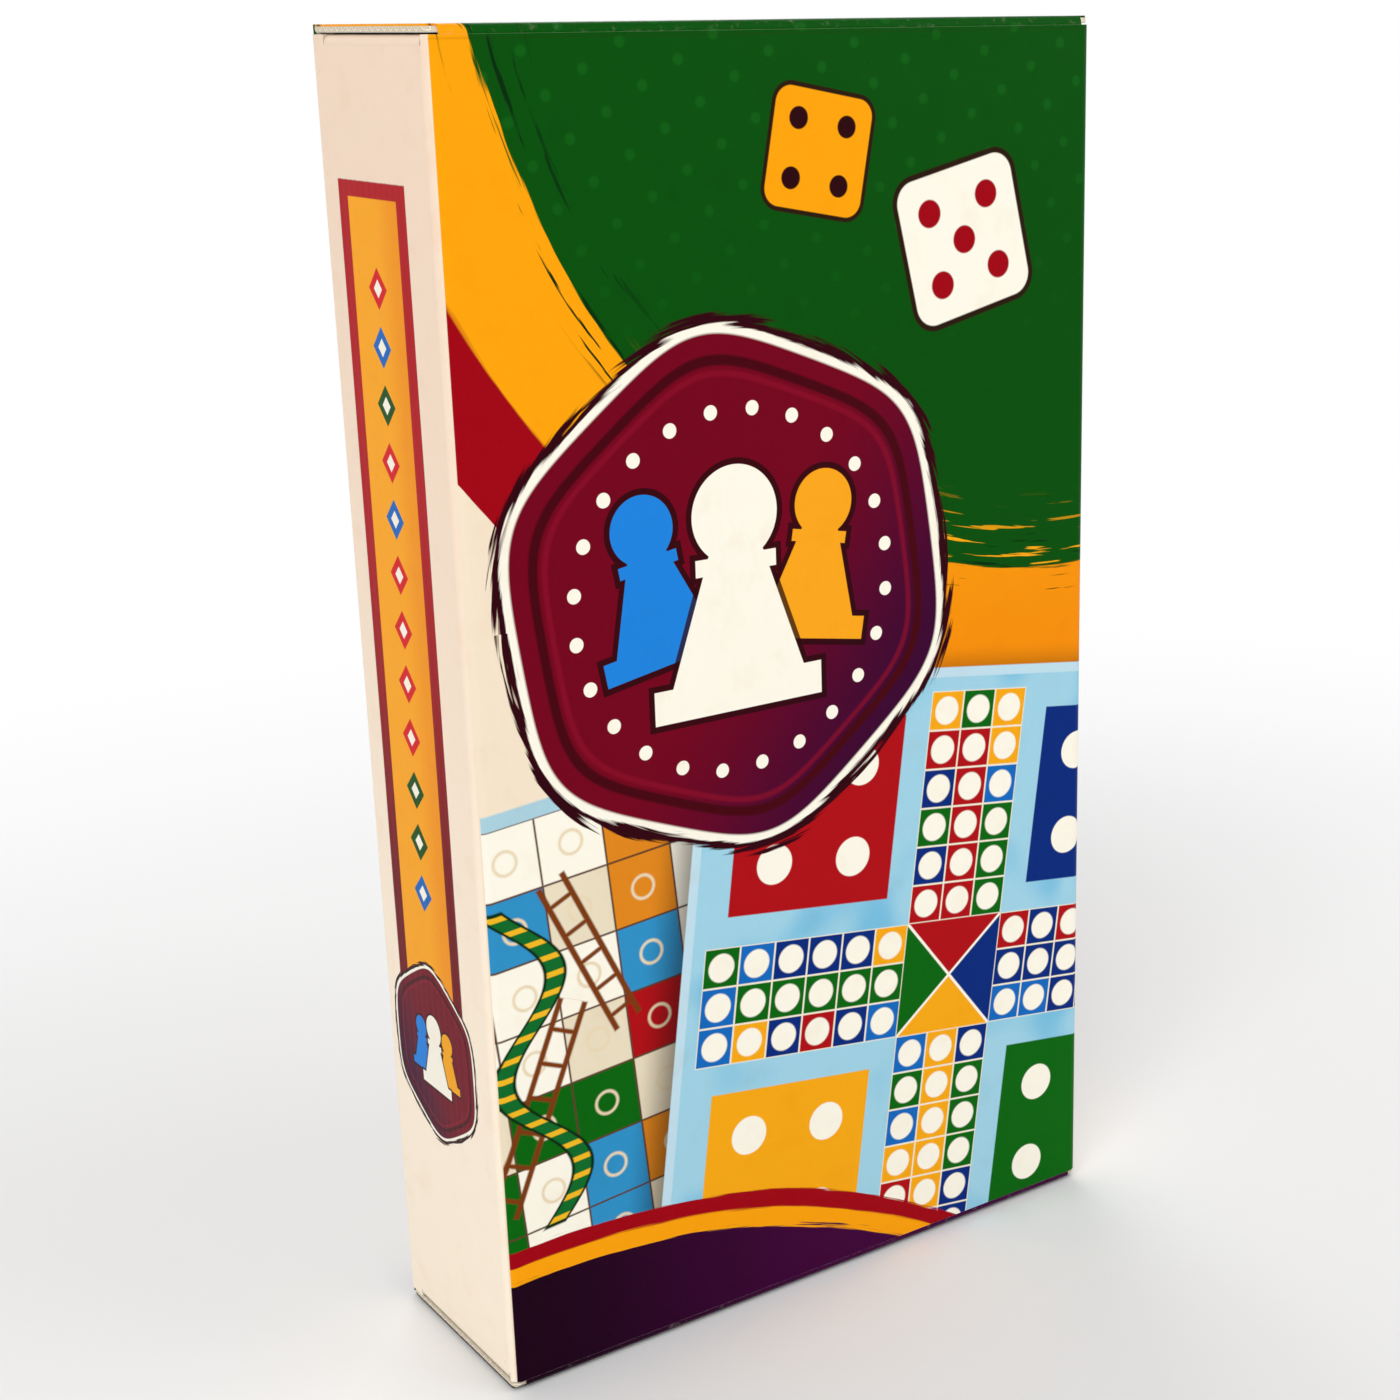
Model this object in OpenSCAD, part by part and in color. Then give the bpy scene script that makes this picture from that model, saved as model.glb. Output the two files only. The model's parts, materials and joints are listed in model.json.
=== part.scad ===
// Tall tuck-end carton for a folding double-sided game board, with the folded
// board, its pawns, dice, card tray and rules leaflet inside.
// X runs across the front panel, Y from the front panel to the back panel, Z up.
// The origin is the middle of the carton's base.

/* [Carton] */
// Width of the front panel
carton_w = 152; // [136:1:190]
// Depth of the carton, from front face to back face
carton_d = 50; // [46:1:70]
// Height of the carton
carton_h = 270; // [230:1:330]
// Thickness of the fluted carton board
board_t = 1.5; // [1.2:0.1:1.8]
// Outer radius of the four upright creases
crease_r = 2.4; // [1.9:0.1:3]
// Outer radius of the crease between a panel and the flap it carries
bend_r = 1.5; // [1:0.1:2]
// Thickness of the printed liner that bends round that crease
liner_t = 0.3; // [0.2:0.05:0.4]
// Width of the glue flap inside the back right crease
glue_flap_w = 15; // [10:1:20]
// Slope cut off each end of the glue flap
glue_flap_cut = 8; // [3:1:12]

/* [Flaps] */
// Length of each tuck flap, from its crease to its tip
tuck_l = 14; // [12:1:20]
// Corner radius at the tip of each tuck flap
tuck_corner_r = 9; // [3:0.5:11]
// Turn of a tuck flap for one degree of its lid
tuck_ratio = 0.2; // [0.1:0.05:0.4]
// Length of each dust flap, from its crease to its tip
dust_l = 36; // [26:1:40]
// Corner radius at the tip of each dust flap
dust_corner_r = 5; // [1:0.5:6]
// Turn of a dust flap for one degree of its lid
dust_ratio = 0.6; // [0.4:0.05:0.65]

/* [Folded board] */
// Thickness of one leaf of the game board
leaf_t = 1.5; // [1.2:0.1:1.9]
// Space between two folded leaves
leaf_gap = 0.25; // [0.15:0.05:0.4]
// Corner radius of a leaf
leaf_corner_r = 2.5; // [1:0.5:5]
// Thickness of the strips that hinge the leaves
strip_t = 0.4; // [0.3:0.05:0.6]
// Room between the leaves and each side panel
side_room = 12; // [6:1:16]
// Room above the folded board
head_room = 11; // [8:1:20]

/* [Leaflet] */
// Width of the folded rules leaflet
leaflet_w = 105; // [80:1:120]
// Height of the folded rules leaflet
leaflet_h = 148; // [100:1:200]
// Thickness of one layer of the leaflet
leaflet_t = 0.3; // [0.2:0.05:0.4]

/* [Tray and pieces] */
// Thickness of the tray's card
tray_t = 0.8; // [0.6:0.1:1.2]
// Height of a pawn
pawn_h = 25; // [18:1:34]
// Edge of a die
die_w = 14; // [11:0.5:16]
// Room between the pawns' heads and the tray's rim
finger_room = 7; // [5:1:12]

/* [Clearances] */
// Gap between two board surfaces that lie on each other
gap = 0.3; // [0.2:0.05:0.4]
// Gap between the end of a lid and the side face
lid_end_gap = 0.4; // [0.2:0.1:0.8]
// Gap between the tuck flap and the back panel while it swings
tuck_gap = 0.4; // [0.3:0.05:0.6]

/* [Hidden] */
$fn = 48;

// Carton, inside and at its creases
inner_w = carton_w - 2 * board_t;
inner_d = carton_d - 2 * board_t;
front_in = -inner_d / 2;
back_in = inner_d / 2;
inner_crease_r = crease_r - board_t;
// How far the rounded inner corner of a crease stands into the carton
crease_in = inner_crease_r * (1 - cos(45));

// Lid: it turns about the carton's upper front edge and ends at the tuck crease
lid_hinge_y = -carton_d / 2;
lid_bottom = carton_h - board_t;
tuck_crease_y = back_in - crease_in - tuck_gap - board_t / 2;
tuck_crease_z = carton_h - board_t / 2;
lid_reach = tuck_crease_y - lid_hinge_y;

// Tuck flap: it leans in so far that its tip never swings wider than its own crease,
// with the part that it unfolds on its way out added
tuck_lean_rigid = asin(tuck_l / (2 * lid_reach));
tuck_exit = asin((tuck_l * cos(tuck_lean_rigid) + carton_h - tuck_crease_z) / lid_reach);
tuck_lean = tuck_lean_rigid + tuck_ratio * tuck_exit;
// Start of the flap, past the corner that its crease squeezes against the lid
tuck_start = (board_t / 2 * (1 + sin(tuck_lean)) + gap) / cos(tuck_lean);
tuck_w = inner_w - 2 * (board_t + tuck_gap);
// What lies in the carton stays in front of this line, clear of the tuck flaps
tuck_zone_y = tuck_crease_y - tuck_l * sin(tuck_lean) - board_t / 2 - gap;

// Dust flaps: they turn about the sides' upper edges, just under the lid
side_top = lid_bottom - gap;
side_bottom = carton_h - side_top;
dust_hinge_x = carton_w / 2;
dust_front_y = front_in + crease_in + gap;
floor_z = side_bottom + board_t;
ceiling_z = carton_h - floor_z;

// Folded board: two rows of four leaves, folded in half and then like a screen
leaf_count = 8;
leaf_pitch = leaf_t + leaf_gap;
stack_t = leaf_count * leaf_t + (leaf_count - 1) * leaf_gap;
pair_r = (2 * leaf_t + leaf_gap) / 2;
double_pair_r = (4 * leaf_t + 3 * leaf_gap) / 2;
leaf_w = inner_w - 2 * side_room;
leaf_z = floor_z + gap + pair_r;
leaf_h = ceiling_z - head_room - leaf_z;
stack_front = front_in + gap;
stack_back = stack_front + stack_t;

// Leaflet, standing between the board and the tray
leaflet_fold = 2 * leaflet_t + leaf_gap;
leaflet_front = stack_back + gap;

// Tray, behind the leaflet
tray_front = leaflet_front + leaflet_fold + gap;
tray_d = tuck_zone_y - tray_front;
tray_w = tuck_w;
tray_z = floor_z + gap;
tray_h = tray_t + pawn_h + finger_room;
pocket_count = 5;
pocket_d = tray_d - 2 * tray_t;
pocket_z = tray_z + tray_t;
dice_pocket_w = 2 * die_w + 3 * gap;
pawn_pocket_w = (tray_w - (pocket_count + 1) * tray_t - dice_pocket_w) / (pocket_count - 1);

// Pawns, two by two in each pocket
pawn_pitch_x = pawn_pocket_w / 2;
pawn_pitch_y = pocket_d / 2;
pawn_d = min(pawn_pitch_x, pawn_pitch_y) - gap;
pawn_base_share = 0.14;
pawn_head_share = 0.62;
pawn_foot_share = 0.82;
pawn_neck_share = 0.3;
pawn_collar_share = 0.55;
pawn_collar_h_share = 0.06;
pawn_head_sink = 0.02;
pawn_base_h = pawn_h * pawn_base_share;
pawn_head_d = pawn_d * pawn_head_share;
pawn_collar_z = pawn_h - pawn_head_d * (1 + pawn_head_sink);
pawn_collar_h = pawn_h * pawn_collar_h_share;

// Dice
die_round_share = 0.735;
pip_r_share = 0.085;
pip_depth_share = 0.04;
pip_step_share = 0.25;
die_round_r = die_w * die_round_share;
pip_r = die_w * pip_r_share;
pip_depth = die_w * pip_depth_share;
pip_step = die_w * pip_step_share;

board_colour = [0.96, 0.9, 0.8];
leaf_colour = [0.66, 0.83, 0.91];
strip_colour = [0.04, 0.18, 0.45];
tray_colour = [0.78, 0.67, 0.5];

// ---- shared shapes ----

// Points of the arc that rounds corner b of the path a, b, c with radius r
function corner_arc(a, b, c, r, steps = 8) =
    let (
        u = (a - b) / norm(a - b),
        v = (c - b) / norm(c - b),
        half = acos(u * v) / 2,
        mid = (u + v) / norm(u + v),
        centre = b + mid * r / sin(half),
        start = b + u * r / tan(half) - centre,
        end = b + v * r / tan(half) - centre,
        turn = start[0] * end[1] - start[1] * end[0] > 0 ? 180 - 2 * half : 2 * half - 180
    )
    [for (i = [0 : steps])
        let (k = turn * i / steps)
        centre + [start[0] * cos(k) - start[1] * sin(k), start[0] * sin(k) + start[1] * cos(k)]];

// A polygon whose corners are rounded, each by its own radius, or sharp at 0
function rounded_path(points, radii) =
    let (n = len(points))
    [for (i = [0 : n - 1])
        each radii[i] > 0
            ? corner_arc(points[(i + n - 1) % n], points[i], points[(i + 1) % n], radii[i])
            : [points[i]]];

module rounded_rect(w, d, r) {
    square([w - 2 * r, d], center = true);
    square([w, d - 2 * r], center = true);
    for (x = [-1, 1], y = [-1, 1])
        translate([x * (w / 2 - r), y * (d / 2 - r)])
            circle(r);
}

// The carton's wall in plan, a closed ring with rounded creases
module wall_ring() {
    difference() {
        rounded_rect(carton_w, carton_d, crease_r);
        rounded_rect(inner_w, inner_d, inner_crease_r);
    }
}

// Plan area of the front panel and its half of each crease, mitred at 45 degrees
module front_zone() {
    half_w = carton_w / 2;
    half_d = carton_d / 2;
    polygon([
        [-half_w, -half_d], [half_w, -half_d],
        [half_w - half_d, 0], [half_d - half_w, 0]
    ]);
}

module upright_wall(z_from, z_to) {
    color(board_colour)
        translate([0, 0, z_from])
            linear_extrude(z_to - z_from)
                children();
}

// Turns a piece of the top closure into its twin at the bottom
module at_bottom() {
    translate([0, 0, carton_h])
        mirror([0, 0, 1])
            children();
}

// ---- carton walls ----

module front_panel() {
    upright_wall(side_bottom, side_top)
        intersection() {
            wall_ring();
            front_zone();
        }
}

module back_panel() {
    upright_wall(0, carton_h)
        intersection() {
            wall_ring();
            rotate(180) front_zone();
        }
}

// Its ends are cut down by the thickness of the dust flaps that fold over them
module right_side_panel() {
    notch_y = dust_front_y - gap;
    notch_h = board_t + gap;
    difference() {
        upright_wall(side_bottom, side_top)
            intersection() {
                wall_ring();
                translate([carton_w / 4, 0]) square([carton_w / 2, carton_d], center = true);
                difference() {
                    square([carton_w, carton_d], center = true);
                    front_zone();
                    rotate(180) front_zone();
                }
            }
        for (z = [side_bottom - board_t, side_top - notch_h])
            translate([0, notch_y, z])
                cube([carton_w, tuck_zone_y + gap - notch_y, notch_h + board_t]);
    }
}

module left_side_panel() {
    mirror([1, 0, 0]) right_side_panel();
}

// The glue flap continues the back panel and is glued inside the right side panel
module glue_flap() {
    low = floor_z + gap;
    high = ceiling_z - gap;
    root = back_in - inner_crease_r;
    tip = back_in - glue_flap_w;
    color(board_colour)
        translate([inner_w / 2 - board_t, 0, 0])
            rotate([90, 0, 90])
                linear_extrude(board_t)
                    polygon([
                        [root, low], [root, high],
                        [tip, high - glue_flap_cut], [tip, low + glue_flap_cut]
                    ]);
}

// ---- tuck closure, drawn at the top ----

// Cuts the place of the bent liner from a flap whose crease lies on the Y axis,
// along its upper edge, with the flap towards +X
module liner_cut(length) {
    nose_r = min(bend_r, board_t) - liner_t;
    rotate([90, 0, 0])
        linear_extrude(2 * length, center = true)
            difference() {
                translate([-liner_t, -2 * board_t]) square([liner_t + bend_r, 3 * board_t]);
                translate([liner_t, -3 * board_t]) square([2 * bend_r, 3 * board_t - liner_t - nose_r]);
                translate([liner_t + nose_r, -liner_t - nose_r]) {
                    circle(nose_r);
                    translate([0, -nose_r]) square([2 * bend_r, 2 * nose_r]);
                }
            }
}

module lid_panel() {
    lid_w = carton_w - 2 * lid_end_gap;
    corner_x = lid_w / 2 - crease_r;
    color(board_colour) {
        difference() {
            translate([0, lid_hinge_y, lid_bottom])
                linear_extrude(board_t) {
                    translate([-lid_w / 2, crease_r]) square([lid_w, lid_reach - crease_r]);
                    translate([-corner_x, 0]) square([2 * corner_x, crease_r]);
                    for (x = [-corner_x, corner_x])
                        translate([x, crease_r]) circle(crease_r);
                }
            translate([0, lid_hinge_y, carton_h])
                rotate(90)
                    liner_cut(lid_w);
        }
        translate([-lid_w / 2, tuck_crease_y, tuck_crease_z])
            rotate([0, 90, 0])
                cylinder(d = board_t, h = lid_w);
    }
}

module tuck_flap() {
    half = tuck_w / 2;
    outline = rounded_path(
        [[-half, tuck_start], [half, tuck_start], [half, tuck_l], [-half, tuck_l]],
        [0, 0, tuck_corner_r, tuck_corner_r]
    );
    color(board_colour)
        translate([0, tuck_crease_y, tuck_crease_z])
            rotate([-90 - tuck_lean, 0, 0])
                translate([0, 0, -board_t / 2])
                    linear_extrude(board_t)
                        polygon(outline);
}

// The edge beside the lid's hinge slopes, so that the flap rises behind the lid
module right_dust_flap() {
    slope_y = dust_front_y + dust_ratio * dust_l;
    outline = rounded_path(
        [
            [dust_hinge_x, dust_front_y], [dust_hinge_x, tuck_zone_y],
            [dust_hinge_x - dust_l, tuck_zone_y], [dust_hinge_x - dust_l, slope_y]
        ],
        [0, 0, dust_corner_r, dust_corner_r]
    );
    color(board_colour)
        difference() {
            translate([0, 0, side_top - board_t])
                linear_extrude(board_t)
                    polygon(outline);
            translate([dust_hinge_x, 0, side_top])
                rotate(180)
                    liner_cut(carton_d);
        }
}

module left_dust_flap() {
    mirror([1, 0, 0]) right_dust_flap();
}

// ---- folded board ----

// One leaf of the folded board, counted from the front panel
module board_leaf(i) {
    color(leaf_colour)
        translate([0, stack_front + (i - 1) * leaf_pitch + leaf_t, leaf_z + leaf_h / 2])
            rotate([90, 0, 0])
                linear_extrude(leaf_t)
                    rounded_rect(leaf_w, leaf_h, leaf_corner_r);
}

// Half tube that carries the print round a fold, opening towards -X
module fold_strip(r, length) {
    linear_extrude(length)
        difference() {
            circle(r);
            circle(r - strip_t);
            translate([-r, 0]) square([2 * r, 2 * r], center = true);
        }
}

// Middle of the fold between pair i and pair i + 1
function fold_y(i) = stack_front + 2 * i * leaf_pitch - leaf_gap / 2;

// Upright folds: the inner strip joins two leaves, the outer one wraps four
module board_side_folds() {
    z = leaf_z + leaf_corner_r;
    color(strip_colour)
        for (i = [1 : leaf_count / 2 - 1], r = [pair_r, double_pair_r])
            mirror([i % 2 == 0 ? 1 : 0, 0, 0])
                translate([leaf_w / 2, fold_y(i), z])
                    fold_strip(r, leaf_h - 2 * leaf_corner_r);
}

// Folds along the lower edge, one for each pair of leaves
module board_end_folds() {
    length = leaf_w - 2 * leaf_corner_r;
    color(strip_colour)
        for (i = [0 : leaf_count / 2 - 1])
            translate([length / 2, stack_front + 2 * i * leaf_pitch + pair_r, leaf_z])
                rotate([0, 90, 180])
                    fold_strip(pair_r, length);
}

// ---- leaflet, tray and playing pieces ----

module rules_leaflet() {
    fold_r = leaflet_fold / 2;
    color("white")
        translate([-leaflet_w / 2 + fold_r, leaflet_front + fold_r, floor_z + gap]) {
            for (side = [0, 1])
                mirror([0, side, 0])
                    translate([0, fold_r - leaflet_t, 0])
                        cube([leaflet_w - fold_r, leaflet_t, leaflet_h]);
            linear_extrude(leaflet_h)
                difference() {
                    circle(fold_r);
                    circle(fold_r - leaflet_t);
                    translate([fold_r, 0]) square(2 * fold_r, center = true);
                }
        }
}

// Left edge of a pocket, counted from 0 at the left; the last one holds the dice
function pocket_x(i) = -tray_w / 2 + tray_t + i * (pawn_pocket_w + tray_t);

module piece_tray() {
    color(tray_colour)
        difference() {
            translate([-tray_w / 2, tray_front, tray_z])
                cube([tray_w, tray_d, tray_h]);
            for (i = [0 : pocket_count - 1])
                translate([pocket_x(i), tray_front + tray_t, pocket_z])
                    cube([
                        i < pocket_count - 1 ? pawn_pocket_w : dice_pocket_w,
                        pocket_d,
                        tray_h
                    ]);
        }
}

module pawn() {
    cylinder(d = pawn_d, h = pawn_base_h);
    translate([0, 0, pawn_base_h])
        cylinder(
            d1 = pawn_d * pawn_foot_share,
            d2 = pawn_d * pawn_neck_share,
            h = pawn_collar_z - pawn_base_h
        );
    translate([0, 0, pawn_collar_z - pawn_collar_h / 2])
        cylinder(d = pawn_d * pawn_collar_share, h = pawn_collar_h);
    translate([0, 0, pawn_h - pawn_head_d / 2])
        sphere(d = pawn_head_d);
}

// Four pawns of one colour in their pocket
module pawns(pocket, colour) {
    color(colour)
        for (x = [0.5, 1.5], y = [0.5, 1.5])
            translate([
                pocket_x(pocket) + x * pawn_pitch_x,
                tray_front + tray_t + y * pawn_pitch_y,
                pocket_z
            ])
                pawn();
}

// Hollows for n pips on the face that looks along +Z
module pips(n) {
    spots = concat(
        n % 2 == 1 ? [[0, 0]] : [],
        n > 1 ? [[-1, -1], [1, 1]] : [],
        n > 3 ? [[-1, 1], [1, -1]] : [],
        n == 6 ? [[-1, 0], [1, 0]] : []
    );
    for (s = spots)
        translate([s[0] * pip_step, s[1] * pip_step, die_w / 2 - pip_depth])
            cylinder(r = pip_r, h = die_w);
}

module die_body() {
    difference() {
        intersection() {
            cube(die_w, center = true);
            sphere(r = die_round_r);
        }
        pips(1);
        rotate([90, 0, 0]) pips(2);
        rotate([0, 90, 0]) pips(3);
        rotate([0, -90, 0]) pips(4);
        rotate([-90, 0, 0]) pips(5);
        rotate([180, 0, 0]) pips(6);
    }
}

// A die in the last pocket, counted from 0, turned by whole quarters
module die(i, turn) {
    x = pocket_x(pocket_count - 1) + gap + die_w / 2 + i * (die_w + gap);
    color("white")
        translate([x, tray_front + tray_t + pocket_d / 2, pocket_z + die_w / 2])
            rotate(turn)
                die_body();
}

front_panel();
back_panel();
left_side_panel();
right_side_panel();
glue_flap();

lid_panel();  // top_lid_panel
tuck_flap();  // top_tuck_flap
left_dust_flap();  // top_left_dust_flap
right_dust_flap();  // top_right_dust_flap
at_bottom() lid_panel();  // bottom_lid_panel
at_bottom() tuck_flap();  // bottom_tuck_flap
at_bottom() left_dust_flap();  // bottom_left_dust_flap
at_bottom() right_dust_flap();  // bottom_right_dust_flap

board_leaf(1);  // board_leaf_1
board_leaf(2);  // board_leaf_2
board_leaf(3);  // board_leaf_3
board_leaf(4);  // board_leaf_4
board_leaf(5);  // board_leaf_5
board_leaf(6);  // board_leaf_6
board_leaf(7);  // board_leaf_7
board_leaf(8);  // board_leaf_8
board_side_folds();
board_end_folds();

rules_leaflet();
piece_tray();
pawns(0, "crimson");  // red_pawns
pawns(1, "gold");  // yellow_pawns
pawns(2, "green");  // green_pawns
pawns(3, "royalblue");  // blue_pawns
die(0, [0, 0, 0]);  // die_1
die(1, [90, 0, 90]);  // die_2
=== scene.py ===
"""Looks of the folding board game carton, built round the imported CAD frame.

Sizes, prints and outlines are in millimetres, and MM turns them into Blender's metres.
The stage, the lamps and the camera are in metres. X runs across the front panel, Y from
the front panel to the back panel, and Z up.
"""
import json
import math

import bmesh
import bpy
from mathutils import Matrix, Vector


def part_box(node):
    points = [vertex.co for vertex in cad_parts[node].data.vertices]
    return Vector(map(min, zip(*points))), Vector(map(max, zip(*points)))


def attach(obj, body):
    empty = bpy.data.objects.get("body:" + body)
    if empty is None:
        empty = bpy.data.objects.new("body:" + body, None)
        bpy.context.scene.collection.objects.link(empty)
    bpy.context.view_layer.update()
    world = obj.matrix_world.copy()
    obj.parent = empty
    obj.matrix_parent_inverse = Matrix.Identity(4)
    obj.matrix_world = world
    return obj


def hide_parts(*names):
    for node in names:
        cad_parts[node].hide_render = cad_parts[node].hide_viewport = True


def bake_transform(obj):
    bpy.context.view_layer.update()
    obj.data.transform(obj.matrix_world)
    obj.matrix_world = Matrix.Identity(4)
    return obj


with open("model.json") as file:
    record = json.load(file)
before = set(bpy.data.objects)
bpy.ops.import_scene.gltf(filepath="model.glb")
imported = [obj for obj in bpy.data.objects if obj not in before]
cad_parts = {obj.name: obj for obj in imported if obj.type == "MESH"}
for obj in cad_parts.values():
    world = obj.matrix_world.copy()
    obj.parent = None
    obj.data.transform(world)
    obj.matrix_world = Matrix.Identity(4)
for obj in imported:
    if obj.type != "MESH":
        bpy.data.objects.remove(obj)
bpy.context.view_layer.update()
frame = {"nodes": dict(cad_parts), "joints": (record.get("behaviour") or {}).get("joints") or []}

MM = 0.001


def crease_place(name):
    """Place of a flap's crease in the frame, in millimetres."""
    joint = next(joint for joint in frame["joints"] if joint["name"] == name)
    return [c / MM for c in joint["pos_m"]]


def lean_of(name):
    """Angle between a CAD node's largest face and the upright."""
    normal = max(frame["nodes"][name].data.polygons, key=lambda face: face.area).normal
    return math.atan2(abs(normal.z), abs(normal.y))


# ---- carton, in millimetres ----
# Lids and dust flaps turn about its outer edges; SIDE_TOP is the top of the front and sides
_, LID_Y, H = crease_place("top_lid_crease")
_, TUCK_Y, TUCK_Z = crease_place("top_tuck_crease")
DUST_X, _, SIDE_TOP = crease_place("top_right_dust_crease")
W, D = 2 * DUST_X, -2 * LID_Y
BOARD = 1.5          # thickness of the fluted board
FLUTE = 2.6          # pitch of its waves
LINER = 0.3          # thickness of the bent liner
BEND = 1.5           # outer radius of a flap's crease
CORNER = 2.4         # outer radius of the sleeve's upright creases
GAP = 0.3            # room between two faces of board
END_GAP = 0.4        # room at each end of a lid
TUCK_GAP = 0.4       # room at each end of a tuck flap
LID_HALF = W / 2 - END_GAP          # half the lid's width
LID_CORNER_X = LID_HALF - CORNER    # the lid's crease is straight as far as this
TUCK_W = W - 2 * (2 * BOARD + TUCK_GAP)
TUCK_LEAN = lean_of("top_tuck_flap")
# The tuck flap starts past its crease, and a dust flap's crease runs from front to back
TUCK_START = (BOARD / 2 * (1 + math.sin(TUCK_LEAN)) + GAP) / math.cos(TUCK_LEAN)
DUST_FRONT = -D / 2 + BOARD + (CORNER - BOARD) * (1 - math.cos(math.pi / 4)) + GAP
DUST_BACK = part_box("top_right_dust_flap")[1].y / MM


# ---- numbers and colours that vary over a surface, written as expressions ----

class Num:
    """A number in a node tree. Arithmetic on it adds math nodes."""

    def __init__(self, tree, socket):
        self.tree, self.socket = tree, socket

    def __add__(self, other):
        return calc("ADD", self, other)

    def __radd__(self, other):
        return calc("ADD", other, self)

    def __sub__(self, other):
        return calc("SUBTRACT", self, other)

    def __rsub__(self, other):
        return calc("SUBTRACT", other, self)

    def __mul__(self, other):
        return calc("MULTIPLY", self, other)

    def __neg__(self):
        return calc("MULTIPLY", self, -1.0)

    def __abs__(self):
        return calc("ABSOLUTE", self)


def feed(tree, socket, value):
    """Gives an input socket a number, a colour, a vector or another node's result."""
    if isinstance(value, Num):
        tree.links.new(value.socket, socket)
    elif isinstance(value, bpy.types.NodeSocket):
        tree.links.new(value, socket)
    else:
        socket.default_value = value


def calc(operation, *values, clamp=False):
    """The result of one math node."""
    tree = next(v.tree for v in values if isinstance(v, Num))
    node = tree.nodes.new("ShaderNodeMath")
    node.operation, node.use_clamp = operation, clamp
    for socket, value in zip(node.inputs, values):
        feed(tree, socket, value)
    return Num(tree, node.outputs[0])


def least(*values):
    result = values[0]
    for value in values[1:]:
        result = calc("MINIMUM", result, value)
    return result


def most(*values):
    result = values[0]
    for value in values[1:]:
        result = calc("MAXIMUM", result, value)
    return result


def inside(distance, soft=0.12):
    """1 where the distance to an outline is negative, with a printed edge's softness."""
    return calc("MULTIPLY_ADD", distance, -1.0 / soft, 0.5, clamp=True)


def over(value, limit, soft=0.05):
    """1 where value is above limit."""
    return calc("MULTIPLY_ADD", value - limit, 1.0 / soft, 0.5, clamp=True)


def under(value, limit, soft=0.05):
    """1 where value is below limit."""
    return calc("MULTIPLY_ADD", limit - value, 1.0 / soft, 0.5, clamp=True)


def smooth(value, low, high):
    """A gentle step from 0 at low to 1 at high."""
    tree = value.tree
    node = tree.nodes.new("ShaderNodeMapRange")
    node.interpolation_type = "SMOOTHSTEP"
    feed(tree, node.inputs["Value"], value)
    node.inputs["From Min"].default_value = low
    node.inputs["From Max"].default_value = high
    return Num(tree, node.outputs["Result"])


def hue(code):
    """A colour written as six hexadecimal digits, as linear RGBA."""
    parts = [int(code[i:i + 2], 16) / 255 for i in (0, 2, 4)]
    linear = [p / 12.92 if p <= 0.04045 else ((p + 0.055) / 1.055) ** 2.4 for p in parts]
    return (*linear, 1.0)


def paint(tree, under_colour, over_colour, mask, blend="MIX"):
    """over_colour laid on under_colour where mask is 1."""
    node = tree.nodes.new("ShaderNodeMix")
    node.data_type, node.blend_type, node.clamp_factor = "RGBA", blend, True
    feed(tree, node.inputs[0], mask)
    for socket, colour in zip(node.inputs[6:8], (under_colour, over_colour)):
        feed(tree, socket, hue(colour) if isinstance(colour, str) else colour)
    return node.outputs[2]


def vec(tree, x, y, z=0.0):
    node = tree.nodes.new("ShaderNodeCombineXYZ")
    for socket, value in zip(node.inputs, (x, y, z)):
        feed(tree, socket, value)
    return node.outputs[0]


def parts_of(tree, vector):
    """The three numbers of a vector."""
    node = tree.nodes.new("ShaderNodeSeparateXYZ")
    tree.links.new(vector, node.inputs[0])
    return [Num(tree, s) for s in node.outputs]


def placed(tree, vector, origin, angle=0.0, unit=1.0):
    """vector seen from a frame at origin, turned by angle degrees, in steps of unit."""
    node = tree.nodes.new("ShaderNodeMapping")
    node.vector_type = "TEXTURE"
    tree.links.new(vector, node.inputs["Vector"])
    node.inputs["Location"].default_value = (*origin, 0.0)
    node.inputs["Rotation"].default_value = (0.0, 0.0, math.radians(angle))
    node.inputs["Scale"].default_value = (unit, unit, 1.0)
    return node.outputs[0]


def scaled(tree, vector, factors):
    node = tree.nodes.new("ShaderNodeVectorMath")
    node.operation = "MULTIPLY"
    tree.links.new(vector, node.inputs[0])
    node.inputs[1].default_value = factors
    return node.outputs[0]


def length(tree, vector, centre=(0.0, 0.0, 0.0)):
    """Distance from centre."""
    node = tree.nodes.new("ShaderNodeVectorMath")
    node.operation = "DISTANCE"
    tree.links.new(vector, node.inputs[0])
    node.inputs[1].default_value = centre
    return Num(tree, node.outputs["Value"])


def noise(tree, vector, scale, detail=2.0, rough=0.5):
    """Noise from about -0.5 to 0.5."""
    node = tree.nodes.new("ShaderNodeTexNoise")
    tree.links.new(vector, node.inputs["Vector"])
    node.inputs["Scale"].default_value = scale
    node.inputs["Detail"].default_value = detail
    node.inputs["Roughness"].default_value = rough
    return Num(tree, node.outputs["Fac"]) - 0.5


def hash_of(tree, vector):
    """A random number from 0 to 1 for each whole-numbered cell."""
    floor = tree.nodes.new("ShaderNodeVectorMath")
    floor.operation = "FLOOR"
    tree.links.new(vector, floor.inputs[0])
    node = tree.nodes.new("ShaderNodeTexWhiteNoise")
    node.noise_dimensions = "3D"
    tree.links.new(floor.outputs[0], node.inputs["Vector"])
    return Num(tree, node.outputs["Value"])


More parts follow.
